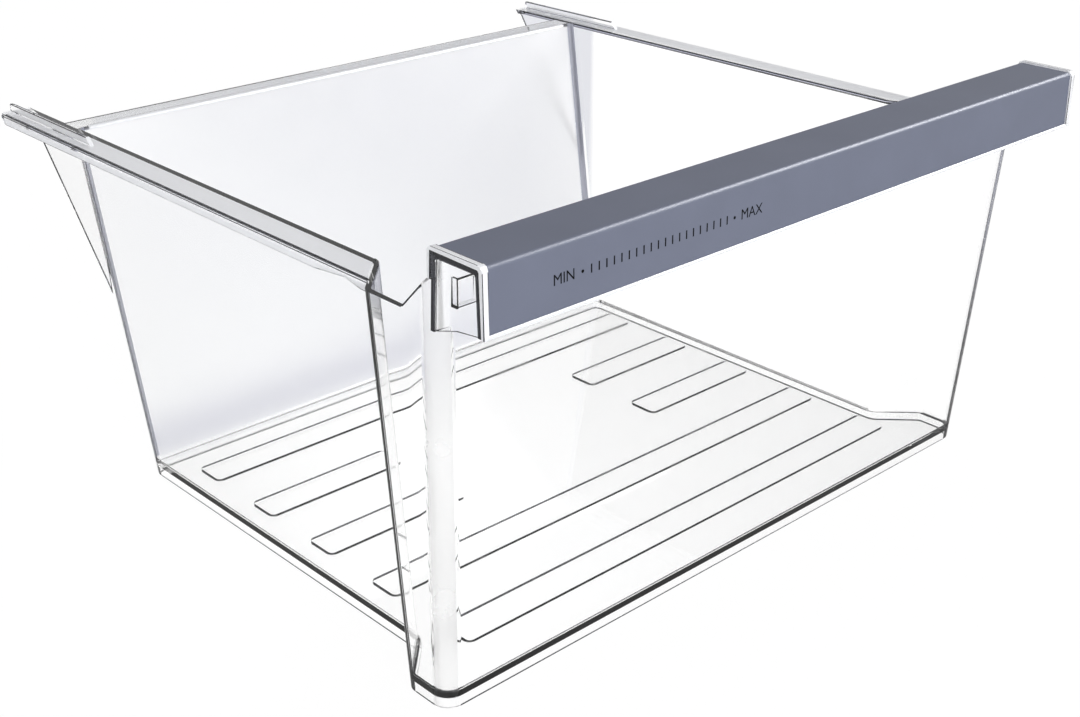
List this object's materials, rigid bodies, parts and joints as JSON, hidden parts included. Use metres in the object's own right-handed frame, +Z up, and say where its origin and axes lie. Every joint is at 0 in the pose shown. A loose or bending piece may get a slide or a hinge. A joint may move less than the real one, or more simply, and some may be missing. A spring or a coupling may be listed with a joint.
{
  "type": "refrigerator crisper drawer",
  "caption": "Clear moulded refrigerator crisper drawer with side runner flanges, stepped front, ribbed floor and a hooked front handle under a grey trim",
  "frame": {"origin": "middle of the drawer's bounding box, on the surface that the foot rim stands on", "axes": "+Z up, -Y to the front where the handle is, +X to the right seen from the front"},
  "size_m": [0.43, 0.425, 0.2357],
  "materials": {
    "clear_plastic": "clear styrene plastic, polished mould",
    "grey_trim": "satin blue-grey plastic"
  },
  "bodies": {
    "root": {"crisper_pan": "clear_plastic", "handle_trim": "grey_trim"}
  },
  "joints": []
}
